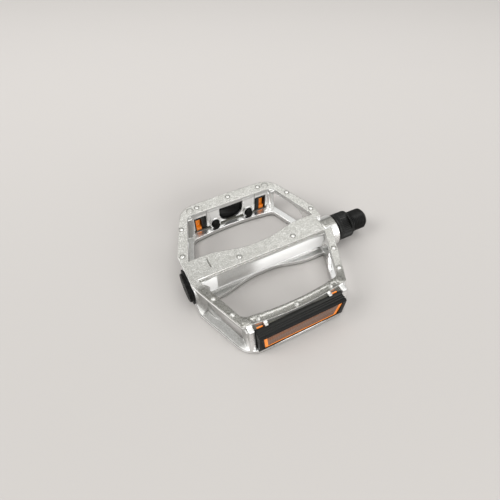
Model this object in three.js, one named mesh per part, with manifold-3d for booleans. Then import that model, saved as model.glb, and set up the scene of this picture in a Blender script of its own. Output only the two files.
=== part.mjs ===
// Flat platform pedal for a bicycle: a one-piece aluminium casting with clip-in reflectors, turning on a
// steel spindle with two loose-ball bearings.
//
// Millimetres. +X runs along the spindle towards the crank arm, +Y towards the far rail, +Z up.
// Everything is laid out about the spindle axis; the last lines shift it so that the origin is on the
// ground under the middle of the whole pedal. The casting looks the same when it is turned half a turn
// about the spindle, so only one half of it is drawn, and turned for the other.
import * as THREE from 'three';
import { mergeVertices } from 'three/addons/utils/BufferGeometryUtils.js';
import Module from 'manifold-3d';

const wasm = await Module();
wasm.setup();

// ---------------------------------------------------------------- driving dimensions
const HALF_T = 11;            // casting, half thickness
const PLATE_T = 3.2;          // thickness of each platform plate
const SKEW = 4.5;             // the top plate sits this far towards +Y, the bottom one towards -Y
const END_X = 49;             // flat ends of the casting
const END_HALF = 12;          // half width of each flat end
const CORNER_X = 34.2;        // corners of the long rails
const RAIL_Y = 47.9;          // half depth over the rails
const SIDE_W = 5.4;           // width of the slanted side flanges
const RAIL_BOW = 3;           // bow of the cut-back rail
const WIDE_BOW = 1.2;         // bow of the wide rail
const CORNER_R = 9;           // rounding of the wide rail's corners
const BEAM_EDGE = 5;          // straight edge of the centre beam's plate
const BEAM_END = 10;          // width of the beam's curved edge near its ends
const CORE_HALF = 4;          // half width of the beam's core
const BAND_HALF = 6;          // the beam's side stands proud of the core in a band
const BAND_END_HALF = 7.3;    // and further at its ends, past a facet
const BAND_FOOT = -4;         // lower edge of the band
const FACET_X = 33;           // where the facet towards each barrel starts
const COVE = 3.6;             // fillet between the core and the plate that reaches past it
const NOTCH_X = 45;           // where the plate stops short over the inboard barrel
const CORNER_LEAN = 1.6;      // how far each corner post leans towards the middle
const COVE_R = 6;             // hollow curve from an end wall up to the plate
const WINDOW_S = 11;          // where the side window starts, along the slanted side
const ARCH_R = 9;             // arched upper corner of the side window
const WALL_IN = 44.6;         // inner face of each long wall
const WALL_T = 2;             // thickness of the long walls and end walls
const BARREL_R = 10.6;        // barrel ends that hold the bearings
const BARREL_END = 55.3;      // inboard face of the barrel
const BORE_R = 4.7;           // bore of the beam
const CUP_BORE_R = 9.5;       // counterbores for the bearing cups

const BALL_R = 1.5875;        // 1/8 inch balls
const BALLS = 10;             // in each bearing
const PITCH_R = 6.55;         // radius of the balls' circle
const INNER_BALL_X = 47;      // inboard bearing
const OUTER_BALL_X = -43;     // outboard bearing
const RUN = 0.15;             // running clearance of a ball
const FIT = 0.2;              // gap between pieces that touch on the real pedal

const THREAD_R = 7.14;        // 9/16 inch crank thread
const TIP_X = 80.6;           // end of the crank thread
const SHOULDER_X = 67.7;      // the collar's face against the crank arm
const COLLAR_R = 9.3;
const FLATS = 15;             // across the wrench flats
const CONE_THREAD_R = 3.5;    // outboard thread
const JOURNAL_R = 4.8;        // spindle and cone below the ball races
const NECK_R = 6.9;           // and above them
const CAP_R = 11.3;
const CAP_X = -51.8;          // face of the dust cap
const CAP_FLANGE_X = -50.2;   // outer side of its thin flange
const CAP_HUB_R = 9.4;        // its raised middle
const CAP_NOTCHES = 16;       // finger grip round the raised middle

const HOUSING_HALF = 28.2;    // reflector housing, half length
const HOUSING_BACK = 46.9;
const HOUSING_FRONT = 53.6;
const HOUSING_TOP = 8.4;
const HOUSING_FOOT = -7.5;
const LENS_TOP_HALF = 25.7;   // the lens is a little narrower at its foot
const LENS_FOOT_HALF = 24.2;
const LENS_TOP = 6.9;
const LENS_FOOT = -6.1;
const PAD_IN = 22.7;          // amber pads that reach back through the housing
const PAD_OUT = 26.4;
const PAD_FOOT = -3.2;
const PAD_TOP = 6.2;
const PAD_BACK = -47.6;
const CREST_BACK = -45.5;     // hooked crest of each pad, behind the housing
const CREST_FRONT = -46.4;
const CREST_TOP = 7.8;
const HOOK_IN = 19.8;         // small hooks of the cut-back rail over the housing
const HOOK_OUT = 22;
const GUSSET_FRONT = -48.2;
const PEG_X = 12.9;           // the housing's pegs
const PEG_Z = 3.9;
const WINDOW_IN = 18.8;       // windows near the ends of the long walls
const WINDOW_OUT = 27.5;
const WINDOW_FOOT = -7.4;
const WINDOW_TOP = 5.6;

const STUD_H = 0.9;
const ROUND = 32;             // sides of a full circle on turned pieces

// ---------------------------------------------------------------- geometry to solid and back
function solid(geometry) {
  const bare = geometry.clone();
  bare.deleteAttribute('normal');
  bare.deleteAttribute('uv');
  const merged = mergeVertices(bare, 1e-4);
  const mesh = new wasm.Mesh({
    numProp: 3,
    vertProperties: new Float32Array(merged.attributes.position.array),
    triVerts: new Uint32Array(merged.index.array),
  });
  return new wasm.Manifold(mesh);
}

function geometryOf(body) {
  const mesh = body.getMesh();
  const geometry = new THREE.BufferGeometry();
  geometry.setAttribute('position', new THREE.BufferAttribute(new Float32Array(mesh.vertProperties), 3));
  geometry.setIndex(new THREE.BufferAttribute(new Uint32Array(mesh.triVerts), 1));
  geometry.computeVertexNormals();
  return geometry;
}

const join = (bodies) => bodies.reduce((sum, body) => sum.add(body));

// half a turn about the spindle
const turned = (body) => body.rotate([180, 0, 0]);

const shapeOf = (points) => new THREE.Shape(points.map(([a, b]) => new THREE.Vector2(a, b)));

// a plan outline (x, y) between two heights
function slab(shape, z0, z1, curveSegments = 8) {
  const g = new THREE.ExtrudeGeometry(shape, { depth: z1 - z0, bevelEnabled: false, curveSegments });
  g.translate(0, 0, z0);
  return solid(g);
}

// an outline of (y, z) points between two places along X
function barX(points, x0, x1) {
  const g = new THREE.ExtrudeGeometry(shapeOf(points), { depth: x1 - x0, bevelEnabled: false });
  g.rotateX(Math.PI / 2);
  g.rotateZ(Math.PI / 2);
  g.translate(x0, 0, 0);
  return solid(g);
}

// an outline (x, z) between two places along Y
function barY(shape, y0, y1, curveSegments = 8) {
  const g = new THREE.ExtrudeGeometry(shape, { depth: y1 - y0, bevelEnabled: false, curveSegments });
  g.rotateX(Math.PI / 2);
  g.translate(0, y1, 0);
  return solid(g);
}

function block(x0, x1, y0, y1, z0, z1) {
  const g = new THREE.BoxGeometry(x1 - x0, y1 - y0, z1 - z0);
  g.translate((x0 + x1) / 2, (y0 + y1) / 2, (z0 + z1) / 2);
  return solid(g);
}

// a block given for the +X side, or its twin on the other side
function sideBlock(side, x0, x1, ...rest) {
  return side > 0 ? block(x0, x1, ...rest) : block(-x1, -x0, ...rest);
}

// a turned piece: (x, radius) points, going from one end of the spindle axis towards the other
function turning(points, sides = ROUND) {
  const profile = points.map(([x, r]) => new THREE.Vector2(r, x));
  const g = new THREE.LatheGeometry(profile, sides);
  g.rotateZ(-Math.PI / 2);
  return solid(g);
}

const rod = (x0, x1, r, sides = ROUND) => turning([[x0, 0], [x0, r], [x1, r], [x1, 0]], sides);

const tube = (x0, x1, r0, r1) => turning([[x0, r0], [x0, r1], [x1, r1], [x1, r0], [x0, r0]]);

// ---------------------------------------------------------------- the casting: one platform plate
// width of the beam's curved edge: narrow in the middle, wide near the ends
function beamEdge(x) {
  const t = THREE.MathUtils.clamp((Math.abs(x) - 4) / 30, 0, 1);
  return BEAM_EDGE + (BEAM_END - BEAM_EDGE) * (1 - Math.cos(Math.PI * t)) / 2;
}

function plateOutline() {
  const near = SKEW - RAIL_Y;
  const far = SKEW + RAIL_Y;
  const side = new THREE.Vector2(END_X - CORNER_X, RAIL_Y - END_HALF).normalize();
  const shape = new THREE.Shape();
  shape.moveTo(-END_X, SKEW - END_HALF);
  shape.lineTo(-CORNER_X, near);
  shape.quadraticCurveTo(0, near - 2 * RAIL_BOW, CORNER_X, near);
  shape.lineTo(END_X, SKEW - END_HALF);
  shape.lineTo(END_X, SKEW + END_HALF);
  shape.lineTo(CORNER_X + side.x * CORNER_R, far - side.y * CORNER_R);
  shape.quadraticCurveTo(CORNER_X, far, CORNER_X - CORNER_R, far + WIDE_BOW / 2);
  shape.quadraticCurveTo(0, far + 1.4 * WIDE_BOW, CORNER_R - CORNER_X, far + WIDE_BOW / 2);
  shape.quadraticCurveTo(-CORNER_X, far, -CORNER_X - side.x * CORNER_R, far - side.y * CORNER_R);
  shape.lineTo(-END_X, SKEW + END_HALF);
  return shape;
}

// the opening between the beam's curved edge and the wide rail
function farOpening() {
  const inner = END_X - SIDE_W + 0.8;
  const corner = CORNER_X - 2.4;
  const shape = new THREE.Shape();
  shape.moveTo(-inner, BEAM_END);
  for (let x = -34; x <= 34; x += 4) shape.lineTo(x, beamEdge(x));
  shape.lineTo(inner, BEAM_END);
  shape.lineTo(corner + 1.4, WALL_IN - 4);
  shape.quadraticCurveTo(corner, WALL_IN, corner - 4, WALL_IN);
  shape.lineTo(4 - corner, WALL_IN);
  shape.quadraticCurveTo(-corner, WALL_IN, -corner - 1.4, WALL_IN - 4);
  return shape;
}

// the opening between the beam's straight edge and the cut-back rail
function nearOpening() {
  const inner = END_X - SIDE_W + 0.4;
  const corner = CORNER_X - 2.8;
  const rail = -38.4;
  const shape = new THREE.Shape();
  shape.moveTo(inner, -BEAM_EDGE);
  shape.lineTo(-inner, -BEAM_EDGE);
  shape.lineTo(-corner - 1.2, rail + 3.2);
  shape.quadraticCurveTo(-corner, rail, 3 - corner, rail - 0.4);
  shape.quadraticCurveTo(0, rail - 4.8, corner - 3, rail - 0.4);
  shape.quadraticCurveTo(corner, rail, corner + 1.2, rail + 3.2);
  return shape;
}

// shallow recess along the top of the cut-back rail, between its two lips
function railRecess() {
  const shape = new THREE.Shape();
  shape.moveTo(-28, -40.9);
  shape.quadraticCurveTo(0, -44.3, 28, -40.9);
  shape.lineTo(28, -43.6);
  shape.quadraticCurveTo(0, -47.9, -28, -43.6);
  return slab(shape, HALF_T - 0.6, HALF_T + 1);
}

function stud(x, y, floor) {
  const top = HALF_T + STUD_H;
  const profile = [[0, floor - 0.4], [1.5, floor - 0.4], [0.8, top], [0, top]];
  const g = new THREE.LatheGeometry(profile.map(([r, z]) => new THREE.Vector2(r, z)), 8);
  g.rotateX(Math.PI / 2);
  g.translate(x, y, 0);
  return solid(g);
}

function pinMark(x, y) {
  const g = new THREE.CylinderGeometry(2, 2, 1, 12);
  g.rotateX(Math.PI / 2);
  g.translate(x, y, HALF_T - 0.15);
  return solid(g);
}

function studs() {
  const list = [stud(0, 49.6, HALF_T), stud(0, -44.1, HALF_T - 0.6)];
  list.push(stud(-15, -0.6, HALF_T), stud(23, -0.6, HALF_T));
  for (const side of [-1, 1]) {
    list.push(stud(23.2 * side, 49.2, HALF_T), stud(23.7 * side, -42.7, HALF_T - 0.6));
    list.push(stud(39.3 * side, 35.6, HALF_T), stud(46.2 * side, 14.9, HALF_T));
    list.push(stud(41 * side, -20.3, HALF_T), stud(35.6 * side, -34, HALF_T));
    list.push(pinMark(28.4 * side, 48.4), pinMark(30.9 * side, -41.2));
  }
  return list;
}

function platformPlate() {
  const z0 = HALF_T - PLATE_T;
  const plate = slab(plateOutline(), z0, HALF_T)
    .subtract(slab(farOpening(), z0 - 1, HALF_T + 1))
    .subtract(slab(nearOpening(), z0 - 1, HALF_T + 1));
  const score = block(-33.7, -33, 0, 7.4, HALF_T - 0.3, HALF_T + 1);
  const notch = block(NOTCH_X, END_X + 1, -BEAM_EDGE, 6.5, z0 - 1, HALF_T + 1);
  return join([plate.subtract(railRecess()).subtract(score).subtract(notch), ...studs()]);
}

// ---------------------------------------------------------------- the casting: what joins the plates
// round-bottomed opening in the middle of a long wall, flat side up
function halfMoon() {
  const shape = new THREE.Shape();
  shape.moveTo(-8.8, 7.4);
  shape.lineTo(-8.8, 2);
  shape.absarc(0, 2, 8.8, Math.PI, 2 * Math.PI, false);
  shape.lineTo(8.8, 7.4);
  return shape;
}

function ovalY(x, z, rx, rz, y0, y1) {
  const shape = new THREE.Shape();
  shape.absellipse(x, z, rx, rz, 0, 2 * Math.PI);
  return barY(shape, y0, y1, 8);
}

// cast pad around a peg, with a rib up to the wide rail
function pegPad(x) {
  const pad = ovalY(x, -PEG_Z, 4.1, 4.9, WALL_IN - 1.6, WALL_IN + 0.5);
  const face = shapeOf([[x - 4.3, 9], [x - 2.2, -1], [x + 2.2, -1], [x + 4.3, 9]].reverse());
  const back = WALL_IN + 0.5;
  const slope = barX([[WALL_IN - 0.2, 9], [back, 9], [back, -2], [WALL_IN - 1.5, -1]], x - 5, x + 5);
  return pad.add(barY(face, WALL_IN - 3, WALL_IN + 1).intersect(slope));
}

function longWall() {
  const y0 = WALL_IN - 1;
  const y1 = WALL_IN + WALL_T + 1;
  let wall = block(-33, 33, WALL_IN, WALL_IN + WALL_T, PLATE_T - HALF_T - 0.2, HALF_T - 1);
  wall = join([wall, pegPad(-PEG_X), pegPad(PEG_X)]);
  wall = wall.subtract(barY(halfMoon(), y0, y1, 10));
  for (const side of [-1, 1]) {
    const a = Math.min(WINDOW_IN * side, WINDOW_OUT * side);
    wall = wall.subtract(block(a, a + WINDOW_OUT - WINDOW_IN, y0, y1, WINDOW_FOOT, WINDOW_TOP));
    wall = wall.subtract(sideBlock(side, PAD_IN - 0.3, PAD_OUT + 0.3, -CREST_BACK - 0.2, y1, -9, -7));
    wall = wall.subtract(ovalY(PEG_X * side, -PEG_Z, 2.9, 3.7, y0 - 3, y1));
  }
  return wall;
}

// post at each end of the long wall, from the wide plate's corner to the cut-back one's
function cornerPost(side) {
  const outer = CORNER_X - 0.2;
  const profile = [[41.5, 10], [51.2, 10], [51.2, 7.4], [43.4, -10], [41.5, -10]];
  const upright = barX(profile, -outer, outer);
  const lean = [[outer - CORNER_LEAN, 10], [outer, -10], [outer - 3, -10], [outer - 3 - CORNER_LEAN, 10]];
  const band = barY(shapeOf(lean.map(([x, z]) => [side * x, z])), 41, 52);
  return upright.intersect(band).intersect(slab(plateOutline(), -HALF_T, HALF_T));
}

// gusset in front of a corner of the cut-back rail, and a small hook over the reflector housing
function cornerGusset(side) {
  const top = HALF_T - 1.2;
  const inner = HOUSING_HALF + 0.4;
  const profile = [[-43, top], [GUSSET_FRONT, top], [GUSSET_FRONT, HOUSING_TOP], [-51, -7.4], [-43, -7.4]];
  const gusset = barX(profile, inner, CORNER_X - 2.2);
  const hook = block(HOOK_IN, HOOK_OUT, -HOUSING_BACK - 0.9, -44, HOUSING_TOP + 0.3, top);
  return side > 0 ? gusset.add(hook) : gusset.add(hook).mirror([1, 0, 0]);
}

// lays a piece drawn along +X from the origin along a slanted side of the cut-back plate, +Y inwards
function alongSide(body, side) {
  const heading = THREE.MathUtils.radToDeg(Math.atan2(RAIL_Y - END_HALF, CORNER_X - END_X));
  const laid = body.rotate([0, 0, heading]).translate([END_X, END_HALF - SKEW, 0]);
  return side > 0 ? laid : laid.mirror([1, 0, 0]);
}

// end wall along a slanted side, from the barrel out to the side window and over it in a quarter arch
function endWall(side) {
  const underside = HALF_T - PLATE_T;
  const shape = new THREE.Shape();
  shape.moveTo(0, 1 - HALF_T);
  shape.lineTo(WINDOW_S, 1 - HALF_T);
  shape.lineTo(WINDOW_S, underside - ARCH_R);
  shape.absarc(WINDOW_S + ARCH_R, underside - ARCH_R, ARCH_R, Math.PI, Math.PI / 2, true);
  shape.lineTo(WINDOW_S + ARCH_R, HALF_T - 1);
  shape.lineTo(0, HALF_T - 1);
  return alongSide(barY(shape, 1, 1 + WALL_T, 6), side);
}

// hollow curve between an end wall and the plate that reaches out past it
function endCove(side) {
  const top = HALF_T - PLATE_T + 0.2;
  const points = [[1.5, top], [1.5, top - COVE_R]];
  for (let i = 0; i <= 6; i += 1) {
    const angle = i * Math.PI / 12;
    points.push([COVE_R * (Math.cos(angle) - 1), top + COVE_R * (Math.sin(angle) - 1)]);
  }
  const cove = alongSide(barX(points, 0.6, WINDOW_S - 1).translate([0, 1, 0]), side);
  return cove.intersect(slab(plateOutline(), 0, HALF_T));
}

// the barrel end that holds a bearing, tapering into the beam
function barrel(ballX, endX) {
  const s = Math.sign(ballX);
  const body = [[ballX - 6 * s, 0], [ballX - 6 * s, BAND_HALF], [ballX - s, BARREL_R],
    [endX - 0.5 * s, BARREL_R], [endX, BARREL_R - 0.5], [endX, 0]];
  return turning(s > 0 ? body : body.reverse());
}

// space for a cup: straight, then a cone that follows the cup's back
function cupSeat(ballX, endX) {
  const s = Math.sign(ballX);
  const cut = [[ballX - 5.4 * s, 0], [ballX - 5.4 * s, BORE_R - 0.1], [ballX - 5.2 * s, 5.1],
    [ballX - 0.6 * s, CUP_BORE_R], [endX + s, CUP_BORE_R], [endX + s, 0]];
  return turning(s > 0 ? cut : cut.reverse());
}

// the proud band along the straight side of the beam, with a facet at each end
function sideBand() {
  const shape = shapeOf([[-43, 0], [-43, -BAND_END_HALF], [-FACET_X, -BAND_HALF], [FACET_X, -BAND_HALF],
    [43, -BAND_END_HALF], [43, 0]]);
  return slab(shape, BAND_FOOT, HALF_T - 1);
}

// hollow curve under the wide side of the beam's plate
function coreFillet() {
  const top = HALF_T - PLATE_T + 0.2;
  const points = [[CORE_HALF - 0.5, top], [CORE_HALF - 0.5, top - COVE]];
  for (let i = 0; i <= 4; i += 1) {
    const angle = i * Math.PI / 8;
    points.push([CORE_HALF + COVE * (1 - Math.cos(angle)), top - COVE * (1 - Math.sin(angle))]);
  }
  const plate = slab(plateOutline(), 0, HALF_T).subtract(slab(farOpening(), -1, HALF_T + 1));
  return barX(points, -43, 43).intersect(plate);
}

function pedalBody() {
  const far = join([platformPlate(), longWall(), cornerPost(-1), cornerPost(1), coreFillet()]);
  const ends = join([-1, 1].flatMap((side) => [endWall(side), endCove(side), cornerGusset(side)]));
  const band = sideBand();
  const core = block(-43, 43, -CORE_HALF, CORE_HALF, 1 - HALF_T, HALF_T - 1).add(band).add(turned(band));
  const shell = join([far, turned(far), ends, turned(ends), core]);
  const barrels = join([barrel(INNER_BALL_X, BARREL_END), barrel(OUTER_BALL_X, -END_X)]);
  return shell.add(barrels)
    .subtract(rod(-60, 60, BORE_R))
    .subtract(cupSeat(INNER_BALL_X, BARREL_END))
    .subtract(cupSeat(OUTER_BALL_X, -END_X));
}

// ---------------------------------------------------------------- bearings
// A ball touches the cup at 45 degrees outwards and the cone at 45 degrees inwards.
const LEAN = (BALL_R + RUN) / Math.SQRT2;

function bearingCup(ballX) {
  const s = Math.sign(ballX);
  const wall = 8.3;
  const outer = CUP_BORE_R - FIT;
  const touch = PITCH_R + LEAN;
  const profile = [
    [ballX - 3.2 * s, touch - 1.97], [ballX - 4.2 * s, touch - 2.0], [ballX - 0.2 * s, outer],
    [ballX + 2.8 * s, outer], [ballX + 2.8 * s, wall], [ballX - (LEAN - wall + touch) * s, wall],
    [ballX - 3.2 * s, touch - 1.97],
  ];
  return turning(s > 0 ? profile : profile.reverse());
}

function ballRetainer(ballX) {
  const s = Math.sign(ballX);
  const middle = ballX + 2.05 * s;
  const ring = tube(middle - 0.3, middle + 0.3, 7, 8);
  const fingers = [];
  for (let i = 0; i < BALLS; i += 1) {
    const x0 = Math.min(ballX - 0.6 * s, ballX + 2 * s);
    const finger = block(x0, x0 + 2.6, -0.24, 0.24, 6.4, 7.8);
    fingers.push(finger.rotate([(i + 0.5) * 360 / BALLS, 0, 0]));
  }
  return join([ring, ...fingers]);
}

function ballGeometry() {
  return new THREE.SphereGeometry(BALL_R, 10, 6);
}

// ---------------------------------------------------------------- spindle and its fastenings
function spindle() {
  const race = INNER_BALL_X + LEAN;
  const raceAt = (r) => race + (r - (PITCH_R - LEAN));
  const relief = THREAD_R - 0.7;
  const body = turning([
    [-50.3, 0], [-50.3, 3], [-49.8, CONE_THREAD_R], [-40.4, CONE_THREAD_R], [-39.8, 4], [44, 4.3],
    [44.6, JOURNAL_R], [raceAt(JOURNAL_R), JOURNAL_R], [raceAt(NECK_R), NECK_R], [55.9, NECK_R],
    [56.4, COLLAR_R - 0.8], [57.2, COLLAR_R], [SHOULDER_X - 0.5, COLLAR_R], [SHOULDER_X, COLLAR_R - 0.5],
    [SHOULDER_X, THREAD_R + 0.15], [SHOULDER_X + 0.5, relief], [SHOULDER_X + 1.4, relief],
    [SHOULDER_X + 2, THREAD_R], [TIP_X - 1.4, THREAD_R], [TIP_X, THREAD_R - 1.4], [TIP_X, 0],
  ]);
  const flat = block(60, SHOULDER_X - 1.6, -12, 12, FLATS / 2, 12);
  const keyFlat = block(-52, -46, -5, 5, 2.8, 5);
  return body.subtract(flat.rotate([30, 0, 0])).subtract(flat.rotate([210, 0, 0])).subtract(keyFlat);
}

function adjustingCone() {
  const race = OUTER_BALL_X - LEAN;
  const bore = CONE_THREAD_R + FIT;
  const raceAt = (r) => race - (r - (PITCH_R - LEAN));
  return turning([
    [-46.4, bore], [-46.4, NECK_R], [raceAt(NECK_R), NECK_R], [raceAt(JOURNAL_R), JOURNAL_R],
    [-41.4, JOURNAL_R], [-41.4, bore], [-46.4, bore],
  ]);
}

function keyedWasher() {
  const ring = tube(-47.3, -46.7, 3.75, 6.2);
  return ring.add(block(-47.3, -46.7, -1.6, 1.6, 3.05, 4.2));
}

function locknut() {
  return rod(-49.8, -47.6, 6.35, 6).subtract(rod(-51, -46, 3.75));
}

function dustCap() {
  const skirt = CUP_BORE_R - 0.3;
  const sunk = CAP_X + 0.4;
  const cap = turning([
    [CAP_X, 0], [CAP_X, 6], [sunk, 6.4], [sunk, 7.4], [CAP_X, 7.8], [CAP_X, CAP_HUB_R - 0.5],
    [CAP_X + 0.5, CAP_HUB_R], [CAP_FLANGE_X, CAP_HUB_R], [CAP_FLANGE_X, CAP_R - 0.3],
    [CAP_FLANGE_X + 0.3, CAP_R], [-49.3, CAP_R], [-49.3, skirt], [-46.7, skirt], [-46.7, 8],
    [-50.8, 8], [-50.8, 0],
  ]);
  const pinHole = (z) => block(CAP_X - 1, sunk, -1.1, 1.1, z - 1.1, z + 1.1);
  const notch = block(CAP_X - 1, CAP_FLANGE_X - 0.2, -0.6, 0.6, CAP_HUB_R - 0.5, CAP_HUB_R + 1);
  let drilled = cap.subtract(pinHole(-4)).subtract(pinHole(4));
  for (let i = 0; i < CAP_NOTCHES; i += 1) {
    drilled = drilled.subtract(notch.rotate([360 * i / CAP_NOTCHES, 0, 0]));
  }
  return drilled;
}

function inboardSeal() {
  return turning([[51.3, 7.2], [51.3, 9.2], [54.6, 9.2], [54.6, 8.2], [53.8, 7.2], [51.3, 7.2]]);
}

// ---------------------------------------------------------------- reflectors (the one on the -Y side)
function lensOutline(grow) {
  return shapeOf([
    [-LENS_FOOT_HALF - grow, LENS_FOOT - grow], [LENS_FOOT_HALF + grow, LENS_FOOT - grow],
    [LENS_TOP_HALF + grow, LENS_TOP + grow], [-LENS_TOP_HALF - grow, LENS_TOP + grow],
  ]);
}

function reflectorHousing() {
  const front = -HOUSING_FRONT;
  const back = -HOUSING_BACK;
  const half = HOUSING_HALF;
  let housing = barX([[back, HOUSING_FOOT], [back, HOUSING_TOP], [front + 0.8, HOUSING_TOP],
    [front, HOUSING_TOP - 0.8], [front, HOUSING_FOOT + 0.6], [front + 0.6, HOUSING_FOOT]], -half, half);
  housing = housing.subtract(barY(lensOutline(0.2), front - 1, front + 3.2));
  const padIn = PAD_IN - 0.3;
  const padOut = PAD_OUT + 0.3;
  const plugBack = -WALL_IN - 0.4;
  for (const side of [-1, 1]) {
    housing = housing.add(sideBlock(side, WINDOW_IN + 0.3, WINDOW_OUT - 0.3, back - 0.5, plugBack,
      0.3 - WINDOW_TOP, -0.3 - WINDOW_FOOT));
    housing = housing.subtract(sideBlock(side, padIn, padOut, front + 3, plugBack + 1, PAD_FOOT - 0.3,
      PAD_TOP + 0.3));
    housing = housing.subtract(sideBlock(side, padIn, padOut, back - 0.2, plugBack + 1, PAD_TOP, CREST_TOP));
    housing = housing.add(ovalY(PEG_X * side, PEG_Z, 2.6, 3.4, back - 0.5, back + 6.2));
    housing = housing.add(ovalY(PEG_X * side, PEG_Z, 1.9, 2.7, back + 6, back + 6.8));
  }
  for (let i = 0; i < 3; i += 1) {
    const y = front + 1.6 + i * 1.3;
    housing = housing.subtract(block(-half - 1, half + 1, y, y + 0.6, HOUSING_TOP - 0.5, HOUSING_TOP + 1));
  }
  return housing;
}

function reflectorLens() {
  const front = -HOUSING_FRONT + 0.4;
  let lens = barY(lensOutline(0), front, front + 2.5);
  for (const side of [-1, 1]) {
    lens = lens.add(sideBlock(side, PAD_IN, LENS_FOOT_HALF - 0.2, front + 2, PAD_BACK, PAD_FOOT, PAD_TOP));
    lens = lens.add(sideBlock(side, PAD_IN, PAD_OUT, front + 3, PAD_BACK, PAD_FOOT, PAD_TOP));
    lens = lens.add(sideBlock(side, PAD_IN, PAD_OUT, PAD_BACK - 0.5, CREST_BACK, PAD_TOP - 1.2, PAD_TOP));
    lens = lens.add(sideBlock(side, PAD_IN, PAD_OUT, CREST_FRONT, CREST_BACK, PAD_TOP - 1.2, CREST_TOP));
  }
  return lens;
}

// ---------------------------------------------------------------- materials and assembly
function finish(color, roughness, metalness) {
  return new THREE.MeshStandardMaterial({ color, roughness, metalness });
}

const CAST = finish(0xc9c9c6, 0.38, 1);
const BLACK_STEEL = finish(0x1c1c1d, 0.42, 0.9);
const BEARING_STEEL = finish(0xa9abad, 0.25, 1);
const BLACK_PLASTIC = finish(0x18181a, 0.5, 0);
const AMBER = finish(0xd2691e, 0.22, 0);
const RUBBER = finish(0x141414, 0.8, 0);

const pedal = new THREE.Group();

function add(name, geometry, material) {
  const mesh = new THREE.Mesh(geometry, material.clone());
  mesh.name = name;
  pedal.add(mesh);
  return mesh;
}

function addBalls(label, ballX) {
  for (let i = 0; i < BALLS; i += 1) {
    const angle = i * 2 * Math.PI / BALLS;
    const ball = add(`${label}_ball_${String(i + 1).padStart(2, '0')}`, ballGeometry(), BEARING_STEEL);
    ball.position.set(ballX, -PITCH_R * Math.sin(angle), PITCH_R * Math.cos(angle));
    ball.rotation.x = angle;
  }
}

add('pedal_body', geometryOf(pedalBody()), CAST);
add('spindle', geometryOf(spindle()), BLACK_STEEL);
add('dust_cap', geometryOf(dustCap()), BLACK_PLASTIC);
add('inboard_seal', geometryOf(inboardSeal()), RUBBER);
add('inboard_cup', geometryOf(bearingCup(INNER_BALL_X)), BEARING_STEEL);
add('outboard_cup', geometryOf(bearingCup(OUTER_BALL_X)), BEARING_STEEL);
add('inboard_retainer', geometryOf(ballRetainer(INNER_BALL_X)), BEARING_STEEL);
add('outboard_retainer', geometryOf(ballRetainer(OUTER_BALL_X)), BEARING_STEEL);
add('adjusting_cone', geometryOf(adjustingCone()), BEARING_STEEL);
add('keyed_washer', geometryOf(keyedWasher()), BEARING_STEEL);
add('locknut', geometryOf(locknut()), BEARING_STEEL);
addBalls('inboard', INNER_BALL_X);
addBalls('outboard', OUTER_BALL_X);

const housing = geometryOf(reflectorHousing());
const lens = geometryOf(reflectorLens());
add('rear_reflector_housing', housing, BLACK_PLASTIC);
add('rear_reflector_lens', lens, AMBER);
add('front_reflector_housing', housing.clone(), BLACK_PLASTIC).rotation.x = Math.PI;
add('front_reflector_lens', lens.clone(), AMBER).rotation.x = Math.PI;

// origin on the ground, under the middle of the pedal's full length
pedal.position.set(-(TIP_X + CAP_X) / 2, 0, HALF_T + STUD_H);

export default pedal;
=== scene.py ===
"""Looks of the flat bicycle pedal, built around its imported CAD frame.

The builders below work in millimetres about the spindle axis, with x = 0 in the middle of the casting, +X
towards the crank and +Z up, as the CAD source does. settle() turns them into the row frame's metres.
"""
import functools
import math

import bmesh
import bpy
import numpy as np
from mathutils import Matrix, Vector

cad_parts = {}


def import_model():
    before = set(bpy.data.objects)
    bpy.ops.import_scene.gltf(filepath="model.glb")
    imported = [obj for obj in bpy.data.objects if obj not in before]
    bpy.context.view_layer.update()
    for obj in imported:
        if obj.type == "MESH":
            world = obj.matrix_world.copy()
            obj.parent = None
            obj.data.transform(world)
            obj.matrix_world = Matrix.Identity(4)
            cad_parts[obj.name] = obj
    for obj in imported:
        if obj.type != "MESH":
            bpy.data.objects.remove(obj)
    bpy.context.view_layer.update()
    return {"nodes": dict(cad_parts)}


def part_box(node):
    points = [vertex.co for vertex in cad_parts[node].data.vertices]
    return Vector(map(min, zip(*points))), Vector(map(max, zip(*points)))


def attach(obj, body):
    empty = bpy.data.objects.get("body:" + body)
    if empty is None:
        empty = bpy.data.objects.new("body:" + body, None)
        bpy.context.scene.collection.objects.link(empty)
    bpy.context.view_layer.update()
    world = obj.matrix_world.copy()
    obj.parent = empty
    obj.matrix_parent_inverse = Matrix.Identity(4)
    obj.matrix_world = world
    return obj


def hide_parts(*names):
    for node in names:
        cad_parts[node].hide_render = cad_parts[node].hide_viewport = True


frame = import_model()
scene = bpy.context.scene

# ------------------------------------------------------------------ where the CAD put things
CASTING_HALF_X = 49.0
body_low, body_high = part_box("pedal_body")
cap_low, cap_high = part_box("dust_cap")
AXIS_Z = (cap_low.z + cap_high.z) / 2
MID_X = body_low.x + CASTING_HALF_X / 1000
TO_ROW = Matrix.Translation((MID_X, 0, AXIS_Z)) @ Matrix.Scale(0.001, 4)
FROM_ROW = TO_ROW.inverted()

HALF_T = 11.0                 # casting, half thickness
THREAD_R = 7.14               # crank thread
PITCH = 1.27                  # 20 threads to the inch
BALL_R = 1.5875
BALL_GAP = 0.15               # between a ball and its races
PITCH_R = 6.55                # circle of the balls' centres
BALL_X = {"inboard": 47.0, "outboard": -43.0}
BALLS = 10                    # on each side
LEAN = (BALL_R + BALL_GAP) / math.sqrt(2)     # from a ball's centre to its 45 degree race, in x and in r
RACE_SMALL_R, RACE_LARGE_R = 4.8, 6.9         # ends of the races on the spindle and on its cone


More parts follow.
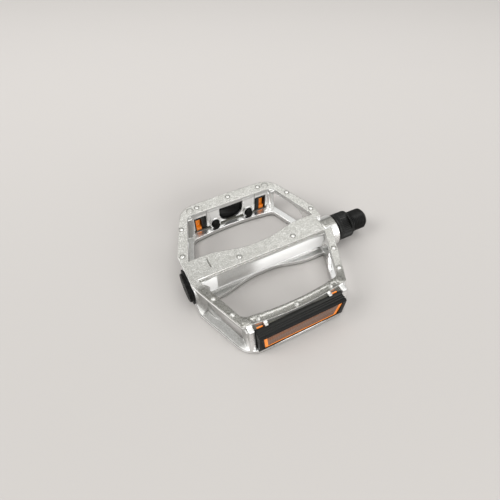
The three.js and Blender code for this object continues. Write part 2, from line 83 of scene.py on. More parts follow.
# ------------------------------------------------------------------ mesh helpers
def rounded(profile, radius=0.25, steps=3):
    """The same open profile of (x, r) points with its corners turned into small arcs."""
    nearly_straight = math.radians(165)
    points = [Vector(p) for p in profile]
    out = [points[0]]
    for a, b, c in zip(points, points[1:], points[2:]):
        to_a, to_c = a - b, c - b
        reach = min(radius, 0.45 * to_a.length, 0.45 * to_c.length)
        if reach < 1e-4 or to_a.angle(to_c) > nearly_straight:
            out.append(b)
            continue
        start, end = b + to_a.normalized() * reach, b + to_c.normalized() * reach
        for k in range(steps + 1):
            t = k / steps
            out.append((1 - t) ** 2 * start + 2 * t * (1 - t) * b + t * t * end)
    out.append(points[-1])
    return [(p[0], p[1]) for p in out]


def lathe(profile, sides=96, radius_at=None, closed=False):
    """A turned surface about the spindle axis. A point with radius 0 closes the end."""
    bm = bmesh.new()
    rings = []
    for x, r in profile:
        if r < 1e-6:
            rings.append([bm.verts.new((x, 0, 0))])
            continue
        ring = []
        for k in range(sides):
            angle = 2 * math.pi * k / sides
            rr = radius_at(x, r, angle) if radius_at else r
            ring.append(bm.verts.new((x, rr * math.cos(angle), rr * math.sin(angle))))
        rings.append(ring)
    pairs = list(zip(rings, rings[1:]))
    if closed:
        pairs.append((rings[-1], rings[0]))
    for one, two in pairs:
        for k in range(sides):
            j = (k + 1) % sides
            if len(one) == 1:
                bm.faces.new((one[0], two[k], two[j]))
            elif len(two) == 1:
                bm.faces.new((one[k], two[0], one[j]))
            else:
                bm.faces.new((one[k], two[k], two[j], one[j]))
    return bm


def settle(bm, name, body, material, stands_for, sharp=35.0):
    """Makes an object of a mesh drawn in millimetres, ties it to its CAD body and hides the CAD nodes it
    stands for.
    """
    bmesh.ops.recalc_face_normals(bm, faces=bm.faces)
    bm.transform(TO_ROW)
    mesh = bpy.data.meshes.new(name)
    bm.to_mesh(mesh)
    bm.free()
    mesh.shade_smooth()
    mesh.set_sharp_from_angle(angle=math.radians(sharp))
    piece = bpy.data.objects.new(name, mesh)
    scene.collection.objects.link(piece)
    mesh.materials.append(material)
    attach(piece, body)
    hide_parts(*stands_for)
    return piece


def cad_mesh(node):
    """A CAD node's mesh as a bmesh in millimetres."""
    bm = bmesh.new()
    bm.from_mesh(frame["nodes"][node].data)
    bm.transform(FROM_ROW)
    bmesh.ops.remove_doubles(bm, verts=bm.verts, dist=1e-4)
    return bm


def modified(bm, *settings):
    """Runs modifiers, given as (type, {property: value}), on a bmesh."""
    mesh = bpy.data.meshes.new("work")
    bm.to_mesh(mesh)
    bm.free()
    work = bpy.data.objects.new("work", mesh)
    scene.collection.objects.link(work)
    for kind, values in settings:
        modifier = work.modifiers.new(kind, kind)
        for key, value in values.items():
            setattr(modifier, key, value)
    graph = bpy.context.evaluated_depsgraph_get()
    done = bmesh.new()
    done.from_mesh(work.evaluated_get(graph).to_mesh())
    bpy.data.objects.remove(work)
    bpy.data.meshes.remove(mesh)
    return done


def softened(node, width):
    """A CAD node with its flat faces merged and its edges broken."""
    flat, corner = math.radians(1), math.radians(28)
    bm = cad_mesh(node)
    bmesh.ops.dissolve_limit(bm, angle_limit=flat, verts=bm.verts, edges=bm.edges)
    return modified(bm, ("BEVEL", {"width": width, "segments": 2, "limit_method": "ANGLE",
                                   "angle_limit": corner, "use_clamp_overlap": True}))


# ------------------------------------------------------------------ material helpers
class Nodes:
    """A material's node tree, with short ways to add the usual nodes."""

    def __init__(self, name):
        self.material = bpy.data.materials.new(name)
        self.material.use_nodes = True
        self.tree = self.material.node_tree
        self.shader = self.tree.nodes["Principled BSDF"]
        coordinates = self.tree.nodes.new("ShaderNodeTexCoord")
        scale = self.tree.nodes.new("ShaderNodeMapping")
        scale.inputs["Scale"].default_value = (1000, 1000, 1000)
        self.tree.links.new(coordinates.outputs["Object"], scale.inputs["Vector"])
        self.mm = scale.outputs["Vector"]

    def put(self, socket, value):
        if isinstance(value, bpy.types.NodeSocket):
            self.tree.links.new(value, socket)
        else:
            socket.default_value = value

    def set(self, **sockets):
        """Sets or links inputs of the shader, with _ for each space in their names."""
        for name, value in sockets.items():
            self.put(self.shader.inputs[name.replace("_", " ")], value)

    def noise(self, size, detail=3.0, roughness=0.55, stretch=None, offset=0.0):
        """Noise with features of about size in millimetres, or of 1 / stretch along each axis."""
        vector = self.mm
        if stretch or offset:
            mapping = self.tree.nodes.new("ShaderNodeMapping")
            mapping.inputs["Scale"].default_value = stretch or (1, 1, 1)
            mapping.inputs["Location"].default_value = (offset, offset, offset)
            self.tree.links.new(vector, mapping.inputs["Vector"])
            vector = mapping.outputs["Vector"]
        node = self.tree.nodes.new("ShaderNodeTexNoise")
        self.tree.links.new(vector, node.inputs["Vector"])
        node.inputs["Scale"].default_value = 1 / size
        node.inputs["Detail"].default_value = detail
        node.inputs["Roughness"].default_value = roughness
        return node.outputs["Fac"]

    def attribute(self, name):
        node = self.tree.nodes.new("ShaderNodeAttribute")
        node.attribute_name = name
        return node.outputs["Fac"]

    def map(self, value, low, high, to_low=0.0, to_high=1.0):
        """A smooth step from to_low, where value is low, to to_high, where it is high."""
        node = self.tree.nodes.new("ShaderNodeMapRange")
        node.interpolation_type = "SMOOTHSTEP"
        self.tree.links.new(value, node.inputs["Value"])
        node.inputs["From Min"].default_value = low
        node.inputs["From Max"].default_value = high
        node.inputs["To Min"].default_value = to_low
        node.inputs["To Max"].default_value = to_high
        return node.outputs["Result"]

    def math(self, operation, a, b):
        node = self.tree.nodes.new("ShaderNodeMath")
        node.operation = operation
        self.put(node.inputs[0], a)
        self.put(node.inputs[1], b)
        return node.outputs[0]

    def times(self, a, b):
        return self.math("MULTIPLY", a, b)

    def mix(self, factor, a, b):
        """A colour between a and b."""
        node = self.tree.nodes.new("ShaderNodeMix")
        node.data_type = "RGBA"
        self.put(node.inputs["Factor"], factor)
        for socket, value in ((node.inputs[6], a), (node.inputs[7], b)):
            self.put(socket, value if isinstance(value, bpy.types.NodeSocket) else (*value, 1))
        return node.outputs[2]

    def blend(self, factor, a, b):
        """A number between a and b."""
        node = self.tree.nodes.new("ShaderNodeMix")
        node.data_type = "FLOAT"
        for index, value in ((0, factor), (2, a), (3, b)):
            self.put(node.inputs[index], value)
        return node.outputs[0]

    def bump(self, height, depth_mm, strength):
        node = self.tree.nodes.new("ShaderNodeBump")
        self.tree.links.new(height, node.inputs["Height"])
        node.inputs["Strength"].default_value = strength
        node.inputs["Distance"].default_value = depth_mm / 1000
        return node.outputs["Normal"]

    def along(self, direction):
        """Distance along a direction, in millimetres times the direction's length."""
        node = self.tree.nodes.new("ShaderNodeVectorMath")
        node.operation = "DOT_PRODUCT"
        self.tree.links.new(self.mm, node.inputs[0])
        node.inputs[1].default_value = direction
        return node.outputs["Value"]

    def pointiness(self):
        return self.tree.nodes.new("ShaderNodeNewGeometry").outputs["Pointiness"]


# ------------------------------------------------------------------ materials
MIDDLE = (0.3, 0.7)           # the range that holds nearly all of a noise's values


def cast_aluminium():
    """Die-cast aluminium: tumbled on the platform faces and polished on the sides, with darker marks, painted
    shade in corners, on edges and where the casting shades itself, and a painted near-white highlight on the
    satin sides.
    """
    pale = (0.82, 0.815, 0.78), (0.95, 0.945, 0.915)
    polished = (0.84, 0.84, 0.83), (0.91, 0.91, 0.90)
    worn, scratched = (0.54, 0.53, 0.49), (0.40, 0.40, 0.38)
    rubbed, creased = (0.46, 0.45, 0.425), (0.30, 0.295, 0.27)
    marks_and_shade_grey, highlight_white = (0.14, 0.136, 0.118), (0.95, 0.95, 0.94)

    n = Nodes("cast_aluminium")
    platform, satin, marks_and_shade, lip = [n.attribute(name) for name in ("platform", "satin", "marks_and_shade", "lip")]
    blotch = n.noise(4.5, detail=4, roughness=0.6)
    grain = n.noise(0.55, detail=4, roughness=0.65, offset=7)
    speck = n.noise(0.22, detail=2, roughness=0.5, offset=3)
    along_x = n.noise(1.0, detail=2, roughness=0.5, stretch=(0.09, 3.2, 1))
    along_y = n.noise(1.0, detail=2, roughness=0.5, stretch=(2.9, 0.12, 1), offset=5)
    scratch = n.math("MAXIMUM", n.map(along_x, 0.66, 0.7), n.map(along_y, 0.67, 0.71))
    edge = n.map(n.pointiness(), 0.52, 0.60)
    crease = n.map(n.pointiness(), 0.49, 0.40, 0.0, 0.5)

    flat = n.mix(n.map(grain, 0.40, 0.60), worn, n.mix(n.map(blotch, 0.36, 0.66), *pale))
    flat = n.mix(n.times(scratch, 0.35), flat, scratched)
    color = n.mix(platform, n.mix(n.map(blotch, 0.35, 0.7), *polished), flat)
    # Painted shade: convex edges are darkened toward a mid grey.
    color = n.mix(n.times(edge, 0.6), color, rubbed)
    # Painted shade in concave corners.
    color = n.mix(crease, color, creased)
    # Darker marks and painted shade, as the casting's marks_and_shade attribute gives them.
    color = n.mix(n.times(marks_and_shade, n.map(grain, *MIDDLE, 0.95, 0.6)), color, marks_and_shade_grey)
    # Painted highlight: where the marks are faint, the satin faces turn near-white and hardly metallic.
    painted_highlight = n.times(satin, n.map(marks_and_shade, 0.05, 0.3, 1.0, 0.0))
    color = n.mix(painted_highlight, color, highlight_white)
    metallic = n.blend(painted_highlight, 1.0, 0.1)

    rough_side = n.blend(satin, n.map(blotch, *MIDDLE, 0.24, 0.36), n.map(grain, *MIDDLE, 0.62, 0.50))
    roughness = n.blend(platform, rough_side, n.map(grain, *MIDDLE, 0.30, 0.20))
    roughness = n.blend(n.times(marks_and_shade, n.map(platform, 0.0, 1.0, 0.8, 0.1)), roughness, 0.7)
    roughness = n.blend(lip, roughness, 0.55)
    roughness = n.blend(n.times(edge, 0.9), roughness, 0.6)

    height = n.math("ADD", n.times(grain, 0.7), n.times(speck, 0.3))
    height = n.math("SUBTRACT", height, n.times(scratch, 0.25))
    share = n.blend(n.math("MAXIMUM", platform, satin), 0.12, 1.0)
    normal = n.bump(n.times(height, share), depth_mm=0.10, strength=0.55)
    n.set(Base_Color=color, Roughness=roughness, Metallic=metallic, Normal=normal)
    return n.material


def black_oxide():
    """Blackened steel with a thin film of oil and a few rubbed edges."""
    blackest, black, rubbed = (0.010, 0.010, 0.0095), (0.024, 0.024, 0.023), (0.16, 0.155, 0.145)
    n = Nodes("black_oxide")
    grain = n.noise(0.35, detail=3, roughness=0.6)
    streaks = n.noise(1.0, detail=2, roughness=0.5, stretch=(0.12, 5, 5))
    color = n.mix(n.noise(3.0, detail=4, roughness=0.6), blackest, black)
    color = n.mix(n.times(n.map(n.pointiness(), 0.54, 0.66), 0.3), color, rubbed)
    roughness = n.map(grain, *MIDDLE, 0.36, 0.52)
    normal = n.bump(n.math("ADD", n.times(grain, 0.5), n.times(streaks, 0.5)), depth_mm=0.03, strength=0.5)
    n.set(Base_Color=color, Roughness=roughness, Metallic=0.75, Normal=normal)
    return n.material


def ground_steel():
    """Hardened steel, ground round the axis."""
    dark, light = (0.52, 0.53, 0.54), (0.70, 0.71, 0.72)
    n = Nodes("ground_steel")
    grinding = n.noise(1.0, detail=3, roughness=0.6, stretch=(7, 0.5, 0.5))
    color = n.mix(n.noise(2.0, detail=3, roughness=0.5), dark, light)
    roughness = n.map(grinding, *MIDDLE, 0.14, 0.30)
    normal = n.bump(grinding, depth_mm=0.01, strength=0.4)
    n.set(Base_Color=color, Roughness=roughness, Metallic=1.0, Normal=normal)
    return n.material


def black_plastic():
    """Moulded black plastic with a fine spark-eroded texture and paler rubbed edges."""
    blackest, black = (0.004, 0.004, 0.004), (0.008, 0.008, 0.0075)
    rubbed, dusty = (0.055, 0.055, 0.052), (0.05, 0.049, 0.046)
    n = Nodes("black_plastic")
    grain = n.noise(0.30, detail=3, roughness=0.6)
    dust = n.map(n.noise(1.3, detail=5, roughness=0.7, offset=11), 0.58, 0.76)
    color = n.mix(n.noise(6.0, detail=3, roughness=0.5), blackest, black)
    color = n.mix(n.times(n.map(n.pointiness(), 0.53, 0.64), 0.5), color, rubbed)
    color = n.mix(n.times(dust, 0.2), color, dusty)
    roughness = n.map(grain, *MIDDLE, 0.30, 0.46)
    normal = n.bump(grain, depth_mm=0.05, strength=0.7)
    n.set(Base_Color=color, Roughness=roughness, Metallic=0.0, Normal=normal, Specular_IOR_Level=0.06)
    return n.material


def rubber():
    """Matt black rubber."""
    blackest, black = (0.014, 0.014, 0.014), (0.03, 0.03, 0.029)
    n = Nodes("seal_rubber")
    grain = n.noise(0.25, detail=3, roughness=0.6)
    color = n.mix(n.noise(2.5), blackest, black)
    roughness = n.map(grain, *MIDDLE, 0.62, 0.8)
    n.set(Base_Color=color, Roughness=roughness, Normal=n.bump(grain, depth_mm=0.03, strength=0.5))
    return n.material


def saw(n, angle, pitch):
    """Distance from the middle of each band, 0 to 1, for bands across an angle in the lens's own plane."""
    across = n.along((math.cos(angle) / pitch, 0, math.sin(angle) / pitch))
    return n.times(n.math("PINGPONG", across, 0.5), 2.0)


def amber():
    """Amber lens: a sheet of small cube-corner prisms behind a clear front, brighter at the rim and pads,
    with painted light and shade on the prisms and a faint painted glow.
    """
    prism_pitch = 1.15
    deep = (0.055, 0.027, 0.017), (0.075, 0.036, 0.023)
    bright = (0.80, 0.19, 0.006), (0.90, 0.25, 0.010)
    lit = (0.16, 0.080, 0.048)
    n = Nodes("amber_lens")
    bands = [saw(n, turn * 2 * math.pi / 3, prism_pitch) for turn in range(3)]
    prism = n.math("MAXIMUM", bands[0], n.math("MAXIMUM", bands[1], bands[2]))
    rim = n.attribute("rim")
    cloud = n.noise(5.0, detail=2, roughness=0.5)
    # Painted light and shade on the prisms: their ridges take the lit amber, the rest the deep, shaded amber.
    panel = n.mix(n.map(prism, 0.5, 0.9), n.mix(cloud, *deep), lit)
    color = n.mix(rim, panel, n.mix(cloud, *bright))
    height = n.times(prism, n.map(rim, 0.0, 1.0, 1.0, 0.0))
    normal = n.bump(height, depth_mm=0.30, strength=0.8)
    n.set(Base_Color=color, Roughness=0.38, Metallic=0.0, Normal=normal, Specular_IOR_Level=0.3)
    # A faint painted glow in the lens's own colour.
    n.set(Coat_Weight=0.45, Coat_Roughness=0.08, Emission_Color=color, Emission_Strength=0.05)
    return n.material


ALUMINIUM = cast_aluminium()
OXIDE = black_oxide()
STEEL = ground_steel()
PLASTIC = black_plastic()
RUBBER = rubber()
AMBER = amber()


# ------------------------------------------------------------------ the casting
VOXEL = 0.34
STUD_R, PIN_MARK_R = 1.5, 2.1
# places of the studs and of the ejector pin marks on a platform face, as (|x| or x, y, both sides)
STUDS = [(0, 49.6, 0), (0, -44.1, 0), (-15, -0.6, 0), (23, -0.6, 0), (23.2, 49.2, 1), (23.7, -42.7, 1),
         (39.3, 35.6, 1), (46.2, 14.9, 1), (41, -20.3, 1), (35.6, -34, 1)]
PIN_MARKS = [(28.4, 48.4, 1), (30.9, -41.2, 1)]
BEAM_HALF_X, BEAM_HALF_Y = 44, 9      # the centre beam's two sides lie within these
WALL_HALF_X, WALL_Y = 29, 40          # the long walls lie within the first and beyond the second
DARK_LINE_X = 18.5                         # thin dark vertical lines on the long walls
SCORE_X, SCORE_LENGTH = -33.35, 7.4   # a score across the beam's top


def ramp(values, low, high):
    """0 below low, 1 above high, and straight in between; low may be the greater."""
    return np.clip((values - low) / (high - low), 0.0, 1.0)


def between(values, low, high):
    return (values > low) & (values < high)


def greatest(masks):
    return functools.reduce(np.maximum, masks)


class Surface:
    """The casting's vertices in millimetres, and masks from 0 to 1 for the kinds of surface it has.

    Both platform faces are alike when the pedal is turned half round, so most masks go by height, which is
    the distance from the middle plane, and by across, which is y as seen with the nearer face turned up.
    """

    def __init__(self, mesh):
        count = len(mesh.vertices)
        place, normal = np.empty(count * 3), np.empty(count * 3)
        mesh.vertices.foreach_get("co", place)
        mesh.vertices.foreach_get("normal", normal)
        self.x, y, z = ((place.reshape(-1, 3) - np.array(TO_ROW.translation)) * 1000).T
        self.across = y * np.sign(z)
        self.abs_x, self.abs_y, self.height = np.abs(self.x), np.abs(y), np.abs(z)
        normal_y, normal_z = np.abs(normal.reshape(-1, 3)[:, 1:]).T
        level = ramp(normal_z, 0.55, 0.85)
        self.top = ramp(self.height, HALF_T - 1.3, HALF_T - 0.8)
        self.platform = level * self.top
        self.plate_edge = (1 - level) * ramp(self.height, 7.5, 7.9) * ramp(self.height, 10.8, 10.4)
        self.lip = ramp(normal_z, 0.97, 0.85) * ramp(self.height, HALF_T - 0.8, HALF_T - 0.5)
        self.sideways = ramp(normal_y, 0.6, 0.8)
        self.beam_side = (self.abs_x < BEAM_HALF_X) & (self.abs_y < BEAM_HALF_Y)
        self.wall = (self.abs_y > WALL_Y) & (self.abs_x < WALL_HALF_X)
        self.front = (self.across < -46.3) * ramp(self.height, 8.0, 8.6)

    def distances(self, marks):
        """Each vertex's distance from each mark, given as (|x| or x, y, both sides)."""
        for x, y, both_sides in marks:
            yield np.hypot((self.abs_x if both_sides else self.x) - x, self.across - y)


def platform_marks_and_shade(s):
    """On the platform faces: darker low places, rings of painted shade round the studs and dark rings round
    the pin marks, two dull stretches and a score.
    """
    sunk = s.platform * ramp(s.height, HALF_T - 0.12, HALF_T - 0.47)
    on_face = s.height > HALF_T - 0.9
    # Painted shade rings round the studs; the pin marks get the same dark rings.
    rings = [ramp(np.abs(distance - radius), width, 0.1) * on_face
             for marks, radius, width in ((STUDS, STUD_R, 0.55), (PIN_MARKS, PIN_MARK_R, 0.4))
             for distance in s.distances(marks)]
    stud_tops = greatest(ramp(distance, 1.2, 0.9) for distance in s.distances(STUDS))
    outboard_rail = ramp(s.x, -28, -33) * ramp(s.across, -8, -12)
    near_rail = ramp(s.across, -30, -38)
    dull = s.platform * np.maximum(outboard_rail, near_rail) * (1 - stud_tops)
    on_score = (np.abs(s.x - SCORE_X) < 0.55) & between(s.across, 0, SCORE_LENGTH)
    score = on_score * (s.height > HALF_T - 0.6)
    return [0.75 * sunk, 0.95 * greatest(rings), 0.25 * stud_tops * s.top, dull, score]


def plate_marks_and_shade(s):
    """Painted shadow on the ledge beside the beam's top, painted shade on the plates' edges and the outboard
    end, and darker outboard lips and long walls' corners.
    """
    # Painted shadow: a dark line along the ledge beside the beam's top.
    along_ledge = ramp(s.across, -7.2, -6.6) * ramp(s.across, -4.4, -4.9) * (s.abs_x < 43.5)
    ledge = along_ledge * between(s.height, HALF_T - 1.6, HALF_T - 0.3)
    # Painted shade on the plates' edges, except at the outboard end.
    edge = s.plate_edge * ramp(s.x, -36, -30)
    # Painted shade on the outboard end walls below the platform faces.
    end_walls = ramp(s.x, -24, -32) * ramp(s.abs_y, 8, 12) * ramp(s.abs_y, 49, 45)
    outboard_end = end_walls * ramp(s.height, 9.6, 9.1)
    lip = s.lip * ramp(s.x, -40, -34) * (s.height < HALF_T + 0.06)
    front = s.front * np.where(s.abs_x < 25, 0.6, 0.3)
    return [ledge, 0.35 * edge, 0.78 * outboard_end, 0.6 * lip, front]


def side_marks_and_shade(s):
    """Painted shade on the outboard part of the beam's sides and all along underneath them, thin dark lines
    on the long walls, and painted shade behind the reflector housings the walls hold.
    """
    # Painted shade on the outboard part of the beam's sides, which also keeps the painted highlight off it.
    band_shade = s.beam_side * s.sideways * ramp(s.x, -33, -32) * ramp(s.x, 2, -18)
    # Painted shade underneath the beam, deeper towards the outboard end.
    beneath = (s.height < 8.6) & (s.abs_y < 11) & (s.abs_x < BEAM_HALF_X)
    under_beam = beneath * (1 - s.sideways) * (0.6 + 0.3 * ramp(s.x, 25, -20))
    dark_line = s.wall * s.sideways * (s.across > 0) * (np.abs(s.abs_x - DARK_LINE_X) < 0.35)
    # Painted shade in the gap behind the reflector housing.
    behind_housing = between(s.across, -48.6, -44.2) & (s.abs_x < 28.5) & (s.height < 8.5)
    crevice = behind_housing * ramp(s.height, 5.6, 6.2)
    return [0.42 * band_shade, under_beam, 0.75 * dark_line, 1.6 * crevice]


def mark_surfaces(mesh):
    """Vertex attributes of the casting: platform faces, satin sides that also carry the painted highlight,
    plate lips, and darker marks with painted shade.
    """
    s = Surface(mesh)
    outboard_edge = s.plate_edge * ramp(s.x, -30, -36)
    sides = s.sideways * np.maximum(s.beam_side, 0.25 * s.wall)
    # The satin faces are also where the material paints its near-white highlight.
    satin = greatest([sides, 0.6 * outboard_edge, 0.3 * s.front])
    marks_and_shade = greatest(platform_marks_and_shade(s) + plate_marks_and_shade(s) + side_marks_and_shade(s))
    for name, values in (("platform", s.platform), ("marks_and_shade", marks_and_shade), ("satin", satin), ("lip", s.lip)):
        layer = mesh.attributes.new(name, "FLOAT", "POINT")
        layer.data.foreach_set("value", values.astype(np.float32))


def casting():
    """The CAD casting with its edges and inner corners rounded as a die casting's are."""
    bm = cad_mesh("pedal_body")
    mesh = bpy.data.meshes.new("exact")
    bm.to_mesh(mesh)
    exact = bpy.data.objects.new("exact", mesh)
    scene.collection.objects.link(exact)
    bm = modified(bm,
                  ("REMESH", {"mode": "VOXEL", "voxel_size": VOXEL, "adaptivity": 0.0}),
                  ("SHRINKWRAP", {"target": exact, "wrap_method": "NEAREST_SURFACEPOINT"}),
                  ("SMOOTH", {"factor": 0.5, "iterations": 2}))
    bpy.data.objects.remove(exact)
    bpy.data.meshes.remove(mesh)
    piece = settle(bm, "casting", "pedal", ALUMINIUM, ["pedal_body"], sharp=80)
    mark_surfaces(piece.data)


# ------------------------------------------------------------------ spindle
SHOULDER_X, TIP_X = 67.7, 80.6        # the crank thread lies between them
COLLAR_R = 9.3
COLLAR_RIDGES, RIDGE_DEPTH = 44, 0.44
FLATS_X = (60.0, SHOULDER_X - 1.6)    # where the two wrench flats begin and end
FLATS_R = 7.5                         # from the axis to each flat
FLATS_TURN = math.radians(120)        # from +Y round to one flat's normal
THREAD_DEPTH = 0.72


def race_x(side, r):
    """Where the spindle side of a bearing, a 45 degree cone, has radius r."""
    outward = math.copysign(1, BALL_X[side])
    return BALL_X[side] + outward * (LEAN + r - (PITCH_R - LEAN))


def thread_groove(phase):
    """Depth of a rounded 60 degree thread at a share of its pitch, 0 at the crest, 1 at the root."""
    t = abs((phase % 1.0) * 2 - 1)
    return min(1.0, max(0.0, (t - 0.08) / 0.84))


def spindle():
    """Shaft with the inboard cone, ridged collar with two wrench flats, and the threaded stub."""
    back_x, back_thread_x, cone_x, neck_x, collar_x = -50.3, -40.4, 44.0, 55.9, 57.2
    shaft_r, back_thread_r, relief_r = 4.0, 3.5, THREAD_R - 0.7
    ridges_x = (57.9, SHOULDER_X - 0.7)
    thread_x, thread_end = SHOULDER_X + 1.6, TIP_X - 1.3
    step = 0.01                       # a wrench flat's end wall is as thick as this

    def radius_at(x, r, angle):
        ridged = ridges_x[0] < x < ridges_x[1]
        if FLATS_X[0] <= x <= FLATS_X[1] + 1e-6:
            r = min(r, FLATS_R / max(1e-6, abs(math.cos(angle - FLATS_TURN))))
        if ridged:
            r -= RIDGE_DEPTH / 2 * (1 - math.cos(COLLAR_RIDGES * angle))
        if x > thread_x:
            fade = min(1.0, (x - thread_x) / 1.0, (TIP_X - 0.2 - x) / 1.6)
            turn = angle / (2 * math.pi)
            r -= THREAD_DEPTH * max(0.0, fade) * thread_groove(x / PITCH - turn)
        return r

    shaft = [(back_x, 0), (back_x, back_thread_r - 0.5), (back_x + 0.5, back_thread_r),
             (back_thread_x, back_thread_r), (back_thread_x + 0.6, shaft_r), (cone_x, shaft_r + 0.3),
             (cone_x + 0.6, RACE_SMALL_R), (race_x("inboard", RACE_SMALL_R), RACE_SMALL_R),
             (race_x("inboard", RACE_LARGE_R), RACE_LARGE_R), (neck_x, RACE_LARGE_R),
             (neck_x + 0.5, COLLAR_R - 0.8), (collar_x, COLLAR_R), (ridges_x[0] - 0.1, COLLAR_R)]
    collar = [(x, COLLAR_R) for x in (ridges_x[0] + 0.05, FLATS_X[0] - step, FLATS_X[0], 63,
                                      FLATS_X[1], FLATS_X[1] + step, ridges_x[1] - 0.02)]
    relief = [(ridges_x[1], COLLAR_R), (SHOULDER_X - 0.5, COLLAR_R), (SHOULDER_X, COLLAR_R - 0.5),
              (SHOULDER_X, THREAD_R + 0.15), (SHOULDER_X + 0.5, relief_r), (thread_x - 0.2, relief_r),
              (thread_x, THREAD_R - 0.3)]
    steps = 110                       # along the thread
    thread = [(thread_x + (thread_end - thread_x) * k / steps, THREAD_R) for k in range(1, steps + 1)]
    tip = [(thread_end + 0.02, THREAD_R), (TIP_X, THREAD_R - 1.4), (TIP_X, 0)]
    profile = rounded(shaft, 0.3) + collar + rounded(relief, 0.2) + thread + rounded(tip, 0.5, steps=5)
    bm = lathe(profile, 216, radius_at)
    settle(bm, "spindle_axle", "spindle", OXIDE, ["spindle"], sharp=40)


# ------------------------------------------------------------------ bearings, hidden inside the barrel ends
def cup(side):
    """Pressed steel cup, a closed ring with a 45 degree race inside."""
    outward = math.copysign(1, BALL_X[side])
    ball = abs(BALL_X[side])
    mouth, race_end, back = ball - 4.2, ball - 0.2, ball + 2.8
    outer_r, lip_r, race_r = 9.3, 8.3, PITCH_R + LEAN
    mouth_r = race_r - 2.0
    outline = [(mouth + 1.0, mouth_r + 0.03), (mouth, mouth_r), (race_end, outer_r), (back, outer_r),
               (back, lip_r), (ball - LEAN + lip_r - race_r, lip_r)]
    bm = lathe([(outward * x, r) for x, r in outline], closed=True)
    settle(bm, f"{side}_cup_ring", "pedal", STEEL, [f"{side}_cup"])


def balls(side):
    for i in range(1, BALLS + 1):
        node = f"{side}_ball_{i:02d}"
        low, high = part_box(node)
        bm = bmesh.new()
        bmesh.ops.create_icosphere(bm, subdivisions=3, radius=BALL_R)
        bm.transform(Matrix.Translation(FROM_ROW @ ((low + high) / 2)))
        settle(bm, f"{side}_steel_ball_{i:02d}", f"{side}_balls", STEEL, [node], sharp=180)


def cone():
    back, front, bore = -46.4, -41.4, 3.7
    outline = [(back, bore), (back, RACE_LARGE_R), (race_x("outboard", RACE_LARGE_R), RACE_LARGE_R),
               (race_x("outboard", RACE_SMALL_R), RACE_SMALL_R), (front, RACE_SMALL_R), (front, bore)]
    settle(lathe(outline, closed=True), "cone", "spindle", STEEL, ["adjusting_cone"])


def seal():
    """Rubber ring with a chamfered lip, at the mouth of the barrel."""
    inner_x, chamfer_x, outer_x = 51.3, 53.8, 54.6
    inner_r, chamfer_r, outer_r = 7.2, 8.2, 9.2
    outline = [(inner_x, inner_r), (inner_x, outer_r), (outer_x, outer_r), (outer_x, chamfer_r),
               (chamfer_x, inner_r)]
    settle(lathe(outline, closed=True), "seal_lip", "pedal", RUBBER, ["inboard_seal"])


def washer_and_locknut():
    for node, name in (("keyed_washer", "key_washer"), ("locknut", "lock_nut")):
        settle(softened(node, width=0.15), name, "spindle", STEEL, [node])


def ball_cage(side):
    node = f"{side}_retainer"
    cage = softened(node, width=0.06)
    settle(cage, f"{side}_ball_cage", f"{side}_balls", STEEL, [node])


# ------------------------------------------------------------------ dust cap
def dust_cap():
    """Screw cap: a plain flange, and a hub with notches round it and a shallow ring groove in its face."""
    face, flange, back, plug_end, web = -51.8, -50.2, -49.3, -46.7, -50.8
    hub_r, edge_r, plug_r, bore_r = 9.4, 11.3, 9.2, 8.0
    dimple_r, dimple_depth = (2.2, 2.6), 0.15
    groove_r, groove_depth = (6.4, 7.4), 0.4
    notches, notch_depth = 16, 0.5
    notch_half, notch_side = 0.19, 0.04       # shares of the notches' spacing

    def radius_at(x, r, angle):
        if x < flange - 0.15 and r > hub_r - 0.7:
            t = abs(((angle * notches / (2 * math.pi)) % 1.0) - 0.5)
            r -= notch_depth * min(1.0, max(0.0, (notch_half - t) / notch_side))
        return r

    profile = [(face + dimple_depth, 0), (face + dimple_depth, dimple_r[0]), (face, dimple_r[1]),
               (face, groove_r[0] - groove_depth), (face + groove_depth, groove_r[0]),
               (face + groove_depth, groove_r[1]), (face, groove_r[1] + groove_depth),
               (face, hub_r - 0.5), (face + 0.5, hub_r), (flange - 0.2, hub_r), (flange, hub_r),
               (flange, edge_r - 0.3), (flange + 0.3, edge_r), (back, edge_r), (back, plug_r),
               (plug_end, plug_r), (plug_end, bore_r), (web, bore_r), (web, 0)]
    bm = lathe(rounded(profile, 0.2), 240, radius_at)
    settle(bm, "barrel_cap", "pedal", PLASTIC, ["dust_cap"])


# ------------------------------------------------------------------ reflectors
def panelled(bm):
    """Sinks the prism panel a little into the lens's face, and marks all but the panel as clear amber."""
    lens_face_y, border, wider_ends, depth = 52.5, 0.7, 1.3, 0.15
    layer = bm.faces.layers.float.new("rim")
    face = max(bm.faces, key=lambda f: f.calc_area() * (abs(f.calc_center_median().y) > lens_face_y))
    bmesh.ops.inset_region(bm, faces=[face], thickness=border, depth=0.0)
    for v in face.verts:
        v.co.x -= math.copysign(wider_ends, v.co.x)
    bmesh.ops.inset_region(bm, faces=[face], thickness=depth, depth=-depth)
    for f in bm.faces:
        f[layer] = 0.0 if f == face else 1.0


def reflector(end):
    housing_node, lens_node = f"{end}_reflector_housing", f"{end}_reflector_lens"
    housing = softened(housing_node, width=0.16)
    settle(housing, f"{end}_reflector_frame", "pedal", PLASTIC, [housing_node])
    lens = softened(lens_node, width=0.14)
    panelled(lens)
    settle(lens, f"{end}_amber_lens", "pedal", AMBER, [lens_node])


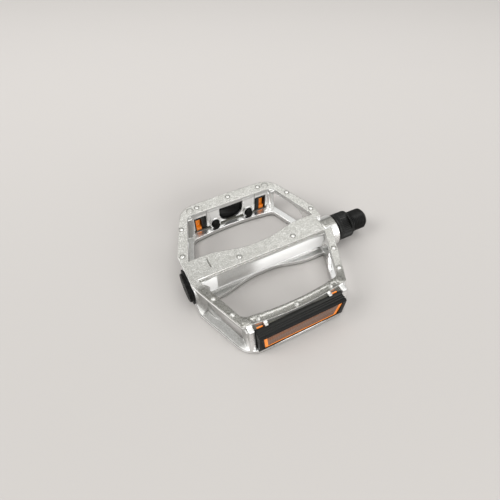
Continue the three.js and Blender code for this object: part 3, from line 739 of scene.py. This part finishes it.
# ------------------------------------------------------------------ floor, light and camera
def floor():
    """Pale paper, with painted shade that makes it a little darker towards the near outboard side."""
    darker, paler, mottled = (0.387, 0.370, 0.355), (0.542, 0.519, 0.50), (0.40, 0.39, 0.375)
    towards_paler, fade = (0.46, 0.89, 0), (-150, 400)
    half_size = 3.0
    bm = bmesh.new()
    bmesh.ops.create_grid(bm, x_segments=8, y_segments=8, size=half_size)
    mesh = bpy.data.meshes.new("floor")
    bm.to_mesh(mesh)
    bm.free()
    piece = bpy.data.objects.new("floor", mesh)
    scene.collection.objects.link(piece)
    n = Nodes("paper_floor")
    # Painted shade: the paper darkens towards the near outboard side.
    color = n.mix(n.map(n.along(towards_paler), *fade), darker, paler)
    color = n.mix(n.times(n.noise(60, detail=3, roughness=0.5), 0.05), color, mottled)
    n.set(Base_Color=color, Roughness=0.9, Specular_IOR_Level=0.2)
    mesh.materials.append(n.material)


# name, place, aim, width, height and watts of each soft light
LIGHTS = [("overhead", (0.12, -0.05, 1.0), (0, 0, 0), 0.6, 0.6, 4.5),
          ("back_left", (-0.70, 0.10, 0.72), (0, 0, 0), 0.5, 0.5, 6.0),
          ("front_fill", (0.18, -0.78, 0.36), (0, 0, 0.01), 1.2, 0.45, 7.5)]
# brightness of the surroundings at the sine of each height above the horizon
SKY = [(0.0, 0.40), (0.5, 0.45), (0.62, 1.0), (0.825, 1.0), (0.86, 0.16), (1.0, 0.14)]
SKY_BLUE = 0.985              # how much of that brightness their blue has


def area_light(name, location, aim, width, height, power):
    data = bpy.data.lights.new(name, "AREA")
    data.shape = "RECTANGLE"
    data.size, data.size_y = width, height
    data.energy = power
    light = bpy.data.objects.new(name, data)
    light.location = location
    light.rotation_euler = (Vector(aim) - Vector(location)).to_track_quat("-Z", "Y").to_euler()
    scene.collection.objects.link(light)


def world():
    """A studio that is brightest in a band well above the horizon."""
    surroundings = bpy.data.worlds.new("studio")
    surroundings.use_nodes = True
    tree = surroundings.node_tree
    where = tree.nodes.new("ShaderNodeTexCoord")
    split = tree.nodes.new("ShaderNodeSeparateXYZ")
    gradient = tree.nodes.new("ShaderNodeValToRGB")
    tree.links.new(where.outputs["Generated"], split.inputs[0])
    tree.links.new(split.outputs["Z"], gradient.inputs["Fac"])
    tree.links.new(gradient.outputs["Color"], tree.nodes["Background"].inputs["Color"])
    stops = gradient.color_ramp.elements
    stops[0].position, stops[1].position = SKY[0][0], SKY[-1][0]
    for height, _ in SKY[1:-1]:
        stops.new(height)
    for stop, (_, value) in zip(stops, SKY):
        stop.color = (value, value, value * SKY_BLUE, 1)
    scene.world = surroundings


def camera():
    """Looks down at the pedal from above its near outboard side."""
    sensor_width, focal_length = 36.0, 26.92368
    place = TO_ROW @ Vector((-71.47, -122.52, 196.82))
    target = TO_ROW @ Vector((-2.985, 8.639, 0.0))
    roll = math.radians(1.14)
    data = bpy.data.cameras.new("camera")
    data.sensor_width = sensor_width
    data.lens = focal_length
    data.clip_start, data.clip_end = 0.01, 20
    view = bpy.data.objects.new("camera", data)
    view.location = place
    turn = (target - place).to_track_quat("-Z", "Y").to_matrix() @ Matrix.Rotation(roll, 3, "Z")
    view.rotation_euler = turn.to_euler()
    scene.collection.objects.link(view)
    scene.camera = view


casting()
spindle()
for side in BALL_X:
    cup(side)
    balls(side)
cone()
seal()
washer_and_locknut()
for side in BALL_X:
    ball_cage(side)
dust_cap()
for end in ("rear", "front"):
    reflector(end)

floor()
world()
for light in LIGHTS:
    area_light(*light)
camera()
scene.view_settings.view_transform = "Standard"
